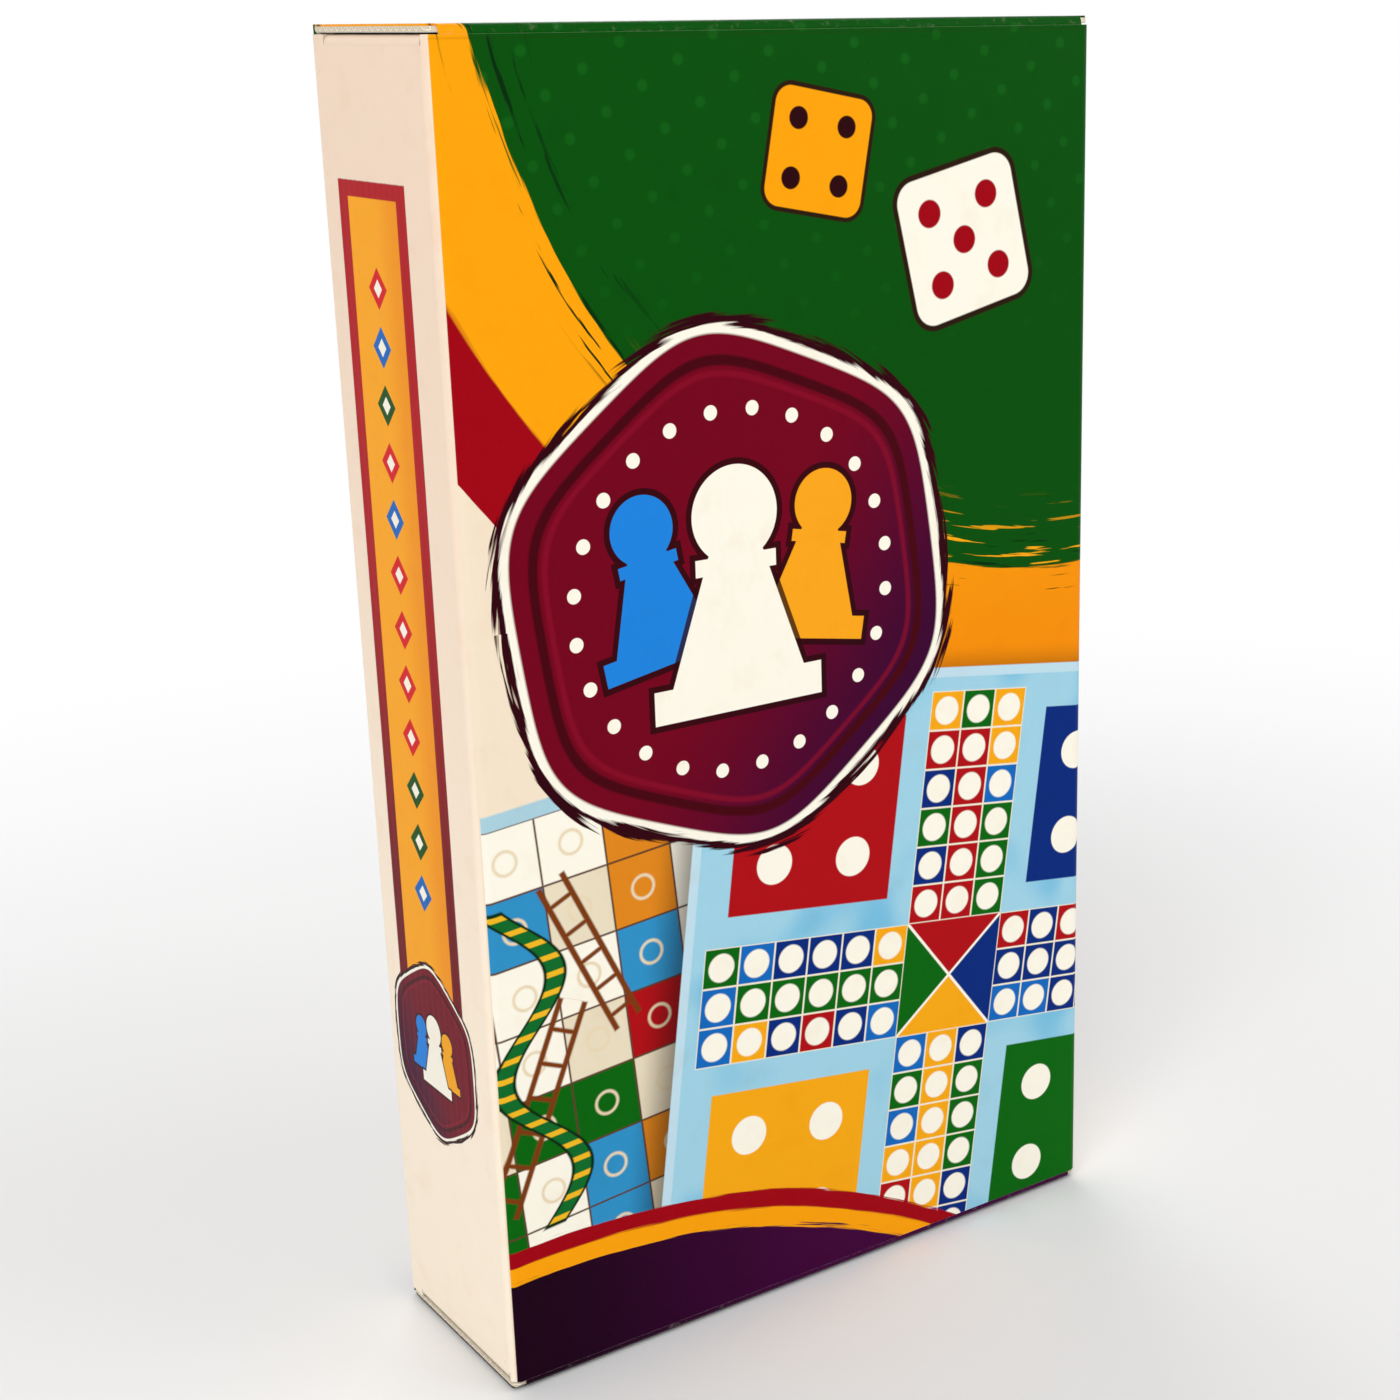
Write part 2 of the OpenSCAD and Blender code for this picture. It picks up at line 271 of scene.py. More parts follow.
def in_cell(tree, vector):
    """Place in a cell, from -0.5 to 0.5 both ways."""
    fraction = tree.nodes.new("ShaderNodeVectorMath")
    fraction.operation = "FRACTION"
    tree.links.new(vector, fraction.inputs[0])
    shift = tree.nodes.new("ShaderNodeVectorMath")
    shift.operation = "SUBTRACT"
    tree.links.new(fraction.outputs[0], shift.inputs[0])
    shift.inputs[1].default_value = (0.5, 0.5, 0.0)
    return shift.outputs[0]


def pick(tree, value, colours):
    """One of several colours for a number from 0 to 1."""
    node = tree.nodes.new("ShaderNodeValToRGB")
    ramp = node.color_ramp
    ramp.interpolation = "CONSTANT"
    while len(ramp.elements) < len(colours):
        ramp.elements.new(0.5)
    for i, colour in enumerate(colours):
        ramp.elements[i].position = i / len(colours)
        ramp.elements[i].color = hue(colour)
    feed(tree, node.inputs[0], value)
    return node.outputs[0]


# ---- the print ----

CREAM, GREEN, ORANGE, CRIMSON = "F3E2C9", "044E08", "FBA208", "9E0212"
MAROON, PLUM, DARK_PLUM, SKY, INK = "72001C", "40003A", "1C0016", "9FD1E4", "2A0208"
NAVY, FOLD_BLUE, BLUE, PAWN_BLUE, LEAF = "052A7A", "1D4E96", "1268BC", "1E82DC", "06640C"
# the last of these is the pale colour laid on creases as rubbed wear and painted highlight
SIGNAL, SUN, WHITE, RUB_AND_HIGHLIGHT = "AE0C14", "F6A812", "FBF6E6", "F1E4D0"
ARCS = (152.0, 300.0)    # where the arcs of the front panel and top lid are centred
GREEN_R, ORANGE_R, CRIMSON_R = 147.0, 170.0, 187.0    # and how far each colour reaches
PLUM_REACH = 90.0        # the plum at the foot is dark at the left and full from here on


def ragged(tree, p, angle, along, across, amount):
    """A brush's raggedness, drawn out along its stroke."""
    q = scaled(tree, placed(tree, p, (0.0, 0.0), angle), (1.0 / along, 1.0 / across, 1.0))
    return noise(tree, q, 1.0, 3.0, 0.6) * amount


def bristles(tree, p, centre, radius, along, across):
    """Bristle marks that run round a centre, and the distance from it."""
    x, y, _ = parts_of(tree, placed(tree, p, centre))
    r = calc("SQRT", x * x + y * y)
    arc = calc("ARCTAN2", y, x) * (radius / along)
    return noise(tree, vec(tree, arc, r * (1.0 / across), 0.0), 1.0, 3.0, 0.6), r


def square_board(tree, colour, p, origin, angle, cell):
    """The traditional cross of 15 by 15 fields with a yard in each corner.

    Lengths are in fields, counted from the middle.
    """
    rim, ground_end, arm_end = 8.1, 7.85, 7.5
    yard_at, yard_half, spot_at = 4.6, 2.35, 1.15
    q = placed(tree, p, origin, angle, cell)
    x, y, _ = parts_of(tree, q)
    ax, ay = abs(x), abs(y)
    near, far = least(ax, ay), most(ax, ay)
    colour = paint(tree, colour, "BFDDEA", inside(far - rim, 0.03))
    ground = paint(tree, SKY, "5FB4DC", smooth(noise(tree, q, 0.35, 1.0), 0.0, 0.2) * 0.7)
    colour = paint(tree, colour, ground, inside(far - ground_end, 0.03))
    right, upper = over(x, 0.0), over(y, 0.0)
    yards = paint(tree, paint(tree, SUN, SIGNAL, upper), paint(tree, LEAF, NAVY, upper), right)
    yard_x, yard_y = abs(ax - yard_at), abs(ay - yard_at)
    colour = paint(tree, colour, yards, inside(most(yard_x, yard_y) - yard_half, 0.03))
    spot = length(tree, vec(tree, abs(yard_x - spot_at), abs(yard_y - spot_at)))
    colour = paint(tree, colour, WHITE, inside(spot - 0.5, 0.03))
    # the four arms, with a home column in the middle of each
    arm = most(near - 1.5, far - arm_end)
    cells = placed(tree, q, (0.5, 0.5))
    field = pick(tree, hash_of(tree, cells), (NAVY, LEAF, SIGNAL, SUN, BLUE))
    across = over(ax - ay, 0.0)
    home = paint(tree, paint(tree, SUN, SIGNAL, upper), paint(tree, LEAF, NAVY, right), across)
    home_column = inside(near - 0.5, 0.03) * inside(far - (arm_end - 1.0), 0.03)
    field = paint(tree, field, home, home_column)
    local = in_cell(tree, cells)
    field = paint(tree, field, WHITE, inside(length(tree, local) - 0.36, 0.04))
    lx, ly, _ = parts_of(tree, local)
    field = paint(tree, field, "F0E8D2", over(most(abs(lx), abs(ly)), 0.475, 0.02))
    colour = paint(tree, colour, field, inside(arm, 0.03))
    # centre, in four triangles
    colour = paint(tree, colour, home, inside(far - 1.5, 0.03))
    return paint(tree, colour, WHITE, inside(abs(ax - ay) - 0.05, 0.04) * inside(far - 1.5, 0.03))


def ladder_board(tree, colour, p, origin, angle, cell):
    """A chequered board with two plain ladders and a winding band.

    Lengths are in fields. x counts to the right and -y down from the upper left corner.
    """
    q = placed(tree, p, origin, angle, cell)
    x, y, _ = parts_of(tree, q)
    field = pick(tree, hash_of(tree, scaled(tree, q, (1.0, -1.0, 1.0))),
                 (LEAF, WHITE, SIGNAL, "DF861C", WHITE, "2F8FC4", LEAF, "E9DCC0"))
    local = in_cell(tree, q)
    lx, ly, _ = parts_of(tree, local)
    field = paint(tree, field, "5A3A2A", over(most(abs(lx), abs(ly)), 0.485, 0.02))
    pip = length(tree, local) - 0.17
    field = paint(tree, field, "E9D7B4", inside(abs(pip) - 0.022, 0.03))
    for start, tilt, reach in (((0.7, -5.6), 62.0, 3.2), ((3.0, -3.4), 110.0, 2.6)):
        rx, ry, _ = parts_of(tree, placed(tree, q, start, tilt))
        past_end = abs(rx - reach / 2) - reach / 2
        rail = most(abs(abs(ry) - 0.2) - 0.045, past_end)
        rung = most(abs(calc("PINGPONG", rx, 0.25) - 0.25) - 0.035, abs(ry) - 0.2, past_end)
        field = paint(tree, field, "7A3A10", inside(least(rail, rung), 0.03))
    wind = abs(x - 1.5 - calc("SINE", y * 2.1) * 0.5) - 0.13
    band = most(wind, abs(y + 3.6) - 2.4)
    stripes = paint(tree, "0E6A2A", "F0B824", over(calc("SINE", y * 24.0), 0.55, 0.3))
    field = paint(tree, field, "08280F", inside(band - 0.05, 0.03))
    field = paint(tree, field, stripes, inside(band, 0.03))
    outline = most(-x, y, -8.6 - y, x - 7.0)
    colour = paint(tree, colour, "A9CFDD", inside(outline - 0.22, 0.03))
    return paint(tree, colour, field, inside(outline, 0.02))


def pawn_mark(tree, p, origin, size, angle=0.0):
    """Distance to the outline of a plain pawn, standing on origin."""
    q = placed(tree, p, origin, angle, size)
    x, y, _ = parts_of(tree, q)
    head = length(tree, q, (0.0, 0.8, 0.0)) - 0.2
    skirt = most(abs(x) - 0.36 + y * 0.36, -y, y - 0.72)
    foot = most(abs(x) - 0.4, abs(y - 0.06) - 0.07)
    collar = most(abs(x) - 0.19, abs(y - 0.6) - 0.035)
    return least(head, skirt, foot, collar) * size


def dice_mark(tree, colour, p, origin, angle, size, face, pip_colour, five):
    """A die seen square on, with four or five pips."""
    x, y, _ = parts_of(tree, placed(tree, p, origin, angle, size))
    cx, cy = most(abs(x) - 0.7, 0.0), most(abs(y) - 0.7, 0.0)
    body = calc("SQRT", cx * cx + cy * cy) - 0.3
    px, py = abs(x) - 0.5, abs(y) - 0.5
    pips = calc("SQRT", px * px + py * py)
    if five:
        pips = least(pips, calc("SQRT", x * x + y * y))
    colour = paint(tree, colour, INK, inside(body - 0.08, 0.02) * 0.9)
    colour = paint(tree, colour, face, inside(body, 0.02))
    return paint(tree, colour, pip_colour, inside(pips - 0.19, 0.02))


def six_sided(tree, p, origin, angle):
    """Size of the six-sided outline with rounded corners that passes through each place."""
    sharpness, unit = 9.0, 20.0
    x, y, _ = parts_of(tree, placed(tree, p, origin, angle))
    walls = (x, x * 0.5 + y * 0.866, x * 0.5 - y * 0.866)
    total = sum((calc("POWER", abs(wall) * (1.0 / unit), sharpness) for wall in walls), 0.0)
    return calc("POWER", total, 1.0 / sharpness) * unit


def badge(tree, colour, p, origin, size, angle):
    """A six-sided badge with a brushed outline."""
    x, y, _ = parts_of(tree, placed(tree, p, origin))
    grain, _ = bristles(tree, p, origin, size, size * 0.4, size * 0.026)
    reach = six_sided(tree, p, origin, angle) * (1.0 / size)
    colour = paint(tree, colour, "30000C", inside(reach - 1.075 + grain * 0.13, 0.012))
    colour = paint(tree, colour, WHITE, inside(reach - 1.035 + grain * 0.07, 0.01))
    face = paint(tree, MAROON, "3A0030", smooth(x - y * 0.7, -size * 0.1, size * 1.3))
    face = paint(tree, face, "45000E", inside(abs(reach - 0.9) - 0.02, 0.01))
    face = paint(tree, face, "8C0A28", inside(abs(reach - 0.85) - 0.012, 0.012) * 0.6)
    return paint(tree, colour, face, inside(reach - 1.0, 0.01))


def bead_ring(tree, colour, p, centre, radius, count):
    """Small round beads on a circle."""
    x, y, _ = parts_of(tree, placed(tree, p, centre))
    r = calc("SQRT", x * x + y * y)
    steps = calc("ARCTAN2", y, x) * (count / math.tau)
    along, _, _ = parts_of(tree, in_cell(tree, vec(tree, steps, r)))
    bead = length(tree, vec(tree, along * (math.tau * radius / count), r - radius))
    return paint(tree, colour, WHITE, inside(bead - 1.5))


def field_print(tree, p):
    """Green field with faint dots, inside orange and crimson arcs with brushed edges."""
    grain, r = bristles(tree, p, ARCS, 150.0, 30.0, 1.6)
    _, y, _ = parts_of(tree, p)
    colour = paint(tree, CREAM, CRIMSON, inside(r - CRIMSON_R + grain * 10.0, 0.5))
    orange = paint(tree, ORANGE, "F58E04", smooth(y, 200.0, 130.0))
    colour = paint(tree, colour, orange, inside(r - ORANGE_R + grain * 2.0, 0.5))
    dots = length(tree, in_cell(tree, placed(tree, p, (0.0, 0.0), 30.0, 9.0))) - 0.12
    green = paint(tree, GREEN, "0F6014", inside(dots, 0.05) * smooth(y, 190.0, 262.0) * 0.7)
    edge = r - GREEN_R
    colour = paint(tree, colour, green, inside(edge + grain * 5.0, 0.4))
    loose = over(grain, 0.1, 0.03) * smooth(edge, -17.0, -5.0) * under(edge, 0.0, 1.0)
    colour = paint(tree, colour, SUN, loose * smooth(y, 214.0, 180.0))
    strands = over(-grain, 0.12, 0.03) * smooth(edge, -13.0, -4.0) * under(edge, 6.0, 1.0)
    return paint(tree, colour, "022A06", strands)


def front_print(tree, p):
    """Front panel: arcs, two dice, a badge with pawns and two boards."""
    x, _, _ = parts_of(tree, p)
    colour = field_print(tree, p)
    colour = dice_mark(tree, colour, p, (118.0, 226.0), 13.0, 15.0, WHITE, CRIMSON, True)
    colour = dice_mark(tree, colour, p, (82.0, 245.0), -11.0, 11.5, ORANGE, INK, False)
    # boards, the square one in front
    colour = ladder_board(tree, colour, p, (-17.0, 120.0), 5.0, 14.5)
    board_centre, tilt = (113.0, 63.0), -8.0
    sx, sy, _ = parts_of(tree, placed(tree, p, board_centre, tilt))
    shadow = most(abs(sx + 2.0), abs(sy + 2.0)) - 71.0
    colour = paint(tree, colour, "140404", smooth(shadow, 8.0, -3.0) * 0.7)
    colour = square_board(tree, colour, p, board_centre, tilt, 8.8)
    badge_centre = (60.0, 160.0)
    colour = badge(tree, colour, p, badge_centre, 49.0, 8.0)
    colour = bead_ring(tree, colour, p, badge_centre, 37.0, 24)
    for origin, size, angle, tone in (
        ((43.5, 148.0), 35.0, 10.0, PAWN_BLUE),
        ((76.5, 148.0), 35.0, -10.0, "F9A51C"),
        ((60.0, 136.0), 50.0, 0.0, WHITE),
    ):
        mark = pawn_mark(tree, p, origin, size, angle)
        colour = paint(tree, colour, INK, inside(mark - 1.3) * 0.9)
        colour = paint(tree, colour, tone, inside(mark))
    # a low plum hill at the foot, under a crimson and an orange line
    grain, r = bristles(tree, p, (14.0, -150.0), 178.0, 30.0, 1.2)
    colour = paint(tree, colour, CRIMSON, inside(r - 182.0 + grain * 4.0, 0.4))
    colour = paint(tree, colour, ORANGE, inside(r - 178.0 + grain * 2.0, 0.4))
    plum = paint(tree, DARK_PLUM, PLUM, smooth(x, 0.0, PLUM_REACH))
    return paint(tree, colour, plum, inside(r - 174.0 + grain * 5.0, 0.4))


def side_print(tree, p):
    """Side panel: x runs from the front edge at 0 to the back edge at 50."""
    middle = 27.0
    x, y, _ = parts_of(tree, p)
    colour = paint(tree, "FFF1DC", "F6DDC6", smooth(y, 20.0, 250.0))
    rough = ragged(tree, p, 90.0, 40.0, 0.8, 1.4)
    strip = most(abs(x - middle) - 14.6, abs(y - 160.0) - 82.0)
    colour = paint(tree, colour, "70000E", inside(strip + rough * 0.5, 0.3))
    colour = paint(tree, colour, "B00414", inside(strip, 0.3) * smooth(y, 90.0, 190.0))
    inner = most(abs(x - middle) - 10.6, abs(y - 160.0) - 79.0)
    colour = paint(tree, colour, "FCA818", inside(inner, 0.2))
    colour = paint(tree, colour, "F08A0A", inside(inner, 0.2) * smooth(x, middle, 17.5) * 0.6)
    # a column of small lozenges
    q = placed(tree, p, (middle, 96.0), 0.0, 11.0)
    qx, qy, _ = parts_of(tree, q)
    lx, ly, _ = parts_of(tree, in_cell(tree, placed(tree, q, (0.5, 0.0))))
    row = most(abs(qx) - 0.5, abs(qy - 6.0) - 6.0)
    tone = pick(tree, hash_of(tree, vec(tree, 0.5, qy, 0.0)), ("D8101C", GREEN, BLUE, "D8101C"))
    gem = abs(lx) + abs(ly) - 0.36
    colour = paint(tree, colour, tone, inside(most(gem, row), 0.02))
    colour = paint(tree, colour, WHITE, inside(most(gem + 0.2, row), 0.02))
    # small badge at its foot
    colour = badge(tree, colour, p, (middle, 66.0), 17.5, 0.0)
    for origin, size, tone in (
        ((middle - 6.0, 60.5), 12.0, SUN),
        ((middle + 6.0, 60.5), 12.0, PAWN_BLUE),
        ((middle, 58.0), 16.5, WHITE),
    ):
        mark = pawn_mark(tree, p, origin, size)
        colour = paint(tree, colour, INK, inside(mark - 0.5) * 0.8)
        colour = paint(tree, colour, tone, inside(mark))
    return colour


def back_print(tree, p):
    """Back panel: x runs from the left as seen from behind."""
    middle = W / 2
    x, y, _ = parts_of(tree, p)
    slant = y - x * 0.12
    rough = ragged(tree, p, 7.0, 30.0, 1.0, 2.5)
    colour = paint(tree, CREAM, GREEN, inside(232.0 - slant + rough, 0.4))
    colour = paint(tree, colour, ORANGE, inside(abs(slant - 222.5) - 6.5))
    colour = paint(tree, colour, CRIMSON, inside(abs(slant - 211.0) - 3.5))
    # the board that is in the box, drawn square and plain
    shadow = most(abs(x - middle), abs(y - 131.0)) - 58.0
    colour = paint(tree, colour, "6B5B4C", smooth(shadow, 3.5, -3.0) * 0.4)
    colour = square_board(tree, colour, p, (middle, 133.0), 0.0, 6.9)
    # four tiles, each with a plain pawn
    q = placed(tree, p, (middle, 48.0), 0.0, 31.0)
    qx, qy, _ = parts_of(tree, q)
    lx, ly, _ = parts_of(tree, in_cell(tree, placed(tree, q, (0.0, 0.5))))
    tile = most(abs(lx), abs(ly)) - 0.42
    limit = most(abs(qx) - 2.0, abs(qy) - 0.5)
    tone = pick(tree, (qx + 2.0) * 0.25, (SIGNAL, SUN, LEAF, NAVY))
    colour = paint(tree, colour, tone, inside(most(tile, limit), 0.02))
    head = length(tree, vec(tree, lx, ly - 0.16)) - 0.1
    skirt = most(abs(lx) - 0.1 + ly * 0.3, -0.26 - ly, ly - 0.08)
    colour = paint(tree, colour, WHITE, inside(most(least(head, skirt), limit), 0.02))
    foot = y - 14.0 - calc("SINE", x * 0.04) * 4.0
    rough = ragged(tree, p, 4.0, 26.0, 0.9, 4.0)
    return paint(tree, colour, PLUM, inside(foot + rough, 0.4))


# ---- materials ----

SKIM = 0.012             # the mask of a cut end starts this far under it
SHARP = 0.01             # and is this soft
FACE_IN = 0.06           # the mask of an inner face reaches this far into the board
PRINT_IN = LINER + 0.1   # and that of a flap's printed face this far
RAW_ROUGHNESS = 0.86     # of unprinted board
PRINT_SHEEN = 0.04       # specular level of the print


def start_material(name):
    material = bpy.data.materials.new(name)
    material.use_nodes = True
    tree = material.node_tree
    shader = tree.nodes["Principled BSDF"]
    return material, tree, shader


def place_of(tree):
    """Place on the part at rest, in millimetres."""
    node = tree.nodes.new("ShaderNodeTexCoord")
    return scaled(tree, node.outputs["Object"], (1 / MM, 1 / MM, 1 / MM))


def bump(tree, shader, height):
    """Relief of a height in metres."""
    node = tree.nodes.new("ShaderNodeBump")
    feed(tree, node.inputs["Height"], height)
    node.inputs["Distance"].default_value = 1.0
    node.inputs["Strength"].default_value = 1.0
    tree.links.new(node.outputs[0], shader.inputs["Normal"])


def raw_edge(tree, along, across):
    """Cut edge of fluted board: two liners with a wavy sheet between them, and the hollows painted
    darker as shade.

    across runs from 0 to BOARD.
    """
    middle = calc("SINE", along * (math.tau / FLUTE)) * 0.42 + BOARD / 2
    web = abs(across - middle) - 0.13
    liner = BOARD / 2 - 0.16 - abs(across - BOARD / 2)
    solid = inside(least(web, liner), 0.08)
    # the hollows of the flutes are painted darker, as shade
    return paint(tree, "DCCDB2", "FFF8EC", solid), solid


def liner_colour(tree, p):
    """Grey-white inner liner with fibres and specks."""
    fibre = noise(tree, scaled(tree, p, (0.9, 0.9, 0.35)), 1.0, 5.0, 0.65)
    colour = paint(tree, "CEC6B6", "BAB1A0", smooth(fibre, -0.15, 0.25))
    speck = noise(tree, p, 2.6, 2.0, 0.4)
    return paint(tree, colour, "8E8270", over(speck, 0.27, 0.04) * 0.6)


def board_material(name, printed, faces, flute_along, edge_place, worn=None, roughness=0.3):
    """Fluted board: printed outside, plain liner inside, and cut edges.

    printed(tree, p) gives the print, faces(x, y, z) the masks of the printed and the inner
    face, flute_along(x, y, z) the place across the flutes, edge_place(x, y, z) the places
    along and through a cut edge, and worn(x, y, z) the distance to a crease, near which
    the board is painted paler as rubbed wear and painted highlight.
    """
    material, tree, shader = start_material(name)
    p = place_of(tree)
    x, y, z = parts_of(tree, p)
    art = printed(tree, p) if printed else liner_colour(tree, p)
    face, inner = faces(x, y, z)
    mottle = noise(tree, p, 0.14, 3.0, 0.55)
    art = paint(tree, art, "F2D6C2", smooth(mottle, 0.0, 0.3) * 0.16, "MULTIPLY")
    if worn:
        # patches near the creases are painted paler: rubbed wear and a painted highlight along the
        # crease
        rub_and_highlight = smooth(noise(tree, p, 0.5, 4.0, 0.7), 0.0, 0.3)
        art = paint(tree, art, RUB_AND_HIGHLIGHT, smooth(worn(x, y, z), 1.1, 0.0) * rub_and_highlight * 0.25)
    cut, solid = raw_edge(tree, *edge_place(x, y, z))
    colour = paint(tree, cut, liner_colour(tree, p), inner)
    colour = paint(tree, colour, art, face)
    tree.links.new(colour, shader.inputs["Base Color"])
    rough = RAW_ROUGHNESS + face * (roughness - RAW_ROUGHNESS)
    rough = rough + face * noise(tree, p, 0.25, 3.0) * 0.12
    tree.links.new(rough.socket, shader.inputs["Roughness"])
    shader.inputs["Specular IOR Level"].default_value = PRINT_SHEEN
    # the flutes show through, and the board is a little dented
    flutes = calc("SINE", flute_along(x, y, z) * (math.tau / FLUTE)) * 0.005
    dent = noise(tree, p, 0.035, 2.0) * 0.35 + noise(tree, p, 0.9, 3.0) * 0.02
    paper = noise(tree, p, 3.0, 2.0) * 0.02 * (1.0 - face)
    height = (flutes + dent + paper) + (1.0 - face) * (1.0 - inner) * solid * 0.12
    bump(tree, shader, height * MM)
    return material


def upmost(end, z):
    """A height, mirrored for the bottom end, so that both ends are drawn as the top one."""
    return z if end == "top" else H - z


def along_x(x, y, z):
    return x


def along_y(x, y, z):
    return y


def wall_depth(x, y):
    """Place through the sleeve's walls, from 0 inside to BOARD outside."""
    return most(abs(x) - (W / 2 - BOARD), abs(y) - (D / 2 - BOARD))


def wall_edge(x, y, z):
    return x + y, wall_depth(x, y)


def wall_faces(x, y, z):
    """Front and side panels: print outside, liner inside and over the flaps' creases."""
    outside = over(wall_depth(x, y), 0.3, 0.2)
    level = abs(z - H / 2) - (SIDE_TOP - H / 2)
    ends = over(level, -SKIM, SHARP)
    beside = over(y, DUST_FRONT - LINER) * under(y, DUST_BACK + LINER)
    folded = most(ends * under(abs(x), LID_CORNER_X),
                  over(level, -BOARD - LINER - SKIM, SHARP) * beside)
    flat = 1.0 - most(ends, folded)
    return outside * flat, most((1.0 - outside) * flat, folded)


def back_faces(x, y, z):
    """Back panel: print outside, liner inside and cut edges at both ends."""
    outside = over(wall_depth(x, y), 0.3, 0.2)
    flat = 1.0 - (over(z, H - SKIM, SHARP) + under(z, SKIM, SHARP))
    return outside * flat, (1.0 - outside) * flat


def corner_rub_and_highlight(x, y, z):
    """Distance to the nearest upright crease or end of the sleeve."""
    upright = calc("SQRT", calc("POWER", abs(x) - W / 2, 2.0) + calc("POWER", abs(y) - D / 2, 2.0))
    level = H / 2 - abs(z - H / 2)
    return least(upright, level + 0.4)


def glue_faces(x, y, z):
    return over(x, W / 2 - BOARD - FACE_IN), under(x, W / 2 - 2 * BOARD + FACE_IN)


def glue_edge(x, y, z):
    return z + y, x - (W / 2 - 2 * BOARD)


def front_to_side(tree, p):
    """Front panel with its rounded corners running over into the side panels."""
    x, y, z = parts_of(tree, p)
    art = front_print(tree, vec(tree, x + W / 2, z))
    # a faint painted shade line just under the top crease
    art = paint(tree, art, INK, inside(abs(z - SIDE_TOP + 0.7) - 0.15, 0.4) * 0.2)
    turn = abs(x) - W / 2 + D / 2 + y
    return paint(tree, art, CREAM, over(turn, -0.5, 0.2) * under(x, 0.0))


def side_place(tree, p):
    _, y, z = parts_of(tree, p)
    return side_print(tree, vec(tree, y + D / 2, z))


def back_place(tree, p):
    x, _, z = parts_of(tree, p)
    return back_print(tree, vec(tree, W / 2 - x, z))


def top_place(tree, p):
    """The lid carries the front panel's field on, over the crease."""
    x, y, z = parts_of(tree, p)
    return field_print(tree, vec(tree, x + W / 2, z + (y - LID_Y)))


def bottom_place(tree, p):
    """The bottom lid carries on the plum at the front panel's foot."""
    x, _, _ = parts_of(tree, p)
    return paint(tree, DARK_PLUM, PLUM, smooth(x, -W / 2, PLUM_REACH - W / 2))


def cream_place(tree, p):
    """Plain cream all over."""
    return hue("F4DFC7")


def assign(name, material):
    mesh = frame["nodes"][name].data
    mesh.materials.clear()
    mesh.materials.append(material)


def sleeve_boards():
    """Materials of the four panels and the glue flap."""
    front = board_material("front_board", front_to_side, wall_faces, along_x, wall_edge, corner_rub_and_highlight)
    side = board_material("side_board", side_place, wall_faces, along_y, wall_edge, corner_rub_and_highlight)
    back = board_material("back_board", back_place, back_faces, along_x, wall_edge, corner_rub_and_highlight)
    glue = board_material("glue_board", None, glue_faces, along_y, glue_edge, roughness=0.8)
    assign("front_panel", front)
    assign("left_side_panel", side)
    assign("right_side_panel", side)
    assign("back_panel", back)
    assign("glue_flap", glue)


def end_boards(end, art):
    """Materials of the lid, tuck flap and dust flaps at one end."""

    def lid_faces(x, y, z):
        """Print on the lid and over the bead at its free edge, liner below."""
        level = upmost(end, z)
        bead = over(y, TUCK_Y + 0.2) * over(level, H - BOARD + 0.3)
        bead = bead * under(abs(x), LID_HALF - SKIM, SHARP)
        return most(over(level, H - PRINT_IN), bead), under(level, H - BOARD + FACE_IN)

    def lid_edge(x, y, z):
        return x + y, upmost(end, z) - (H - BOARD)

    def lid_rub_and_highlight(x, y, z):
        """Distance to the lid's nearest edge."""
        return least(W / 2 - abs(x), y + D / 2, TUCK_Y + 0.9 - y)

    def tuck_depth(y, z):
        """Place through the flap, from 0 inside to BOARD outside."""
        back, down = y - TUCK_Y, TUCK_Z - upmost(end, z)
        return back * math.cos(TUCK_LEAN) + down * math.sin(TUCK_LEAN) + BOARD / 2

    def tuck_faces(x, y, z):
        depth = tuck_depth(y, z)
        return over(depth, BOARD - FACE_IN), under(depth, FACE_IN)

    def tuck_edge(x, y, z):
        return x + z, tuck_depth(y, z)

    def dust_faces(x, y, z):
        level = upmost(end, z)
        return over(level, SIDE_TOP - PRINT_IN), under(level, SIDE_TOP - BOARD + FACE_IN)

    def dust_edge(x, y, z):
        return x + y, upmost(end, z) - (SIDE_TOP - BOARD)

    lid = board_material(f"{end}_lid_board", art, lid_faces, along_x, lid_edge, lid_rub_and_highlight)
    tuck = board_material(f"{end}_tuck_board", cream_place, tuck_faces, along_x, tuck_edge,
                          roughness=0.35)
    dust = board_material(f"{end}_dust_board", cream_place, dust_faces, along_y, dust_edge,
                          roughness=0.35)
    assign(f"{end}_lid_panel", lid)
    assign(f"{end}_tuck_flap", tuck)
    for side in ("left", "right"):
        assign(f"{end}_{side}_dust_flap", dust)


sleeve_boards()
end_boards("top", top_place)
end_boards("bottom", bottom_place)


# ---- board, leaflet, tray and playing pieces ----

def leaf_material():
    """Printed paper over grey board."""
    material, tree, shader = start_material("leaf_print")
    p = place_of(tree)
    x, _, z = parts_of(tree, p)
    lo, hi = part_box("board_leaf_1")
    middle = (lo.z + hi.z) / 2 / MM
    # four leaves by two make up the half-metre board, and this is a corner one
    board_centre, cell = (187.5, -125.2), 30.9
    art = square_board(tree, hue(SKY), vec(tree, x, z - middle), board_centre, 0.0, cell)
    rim = most(abs(x) - 61.6, abs(z - middle) - 124.4)
    art = paint(tree, art, FOLD_BLUE, over(rim, 0.75, 0.1))
    grain = noise(tree, scaled(tree, p, (1.0, 1.0, 0.3)), 1.4, 4.0)
    art = paint(tree, art, "FFFFFF", smooth(grain, 0.1, 0.4) * 0.08)
    shader.inputs["Specular IOR Level"].default_value = 0.2
    tree.links.new(art, shader.inputs["Base Color"])
    tree.links.new((noise(tree, p, 0.3) * 0.15 + 0.38).socket, shader.inputs["Roughness"])
    bump(tree, shader, noise(tree, p, 1.5, 3.0) * 0.03 * MM)
    return material


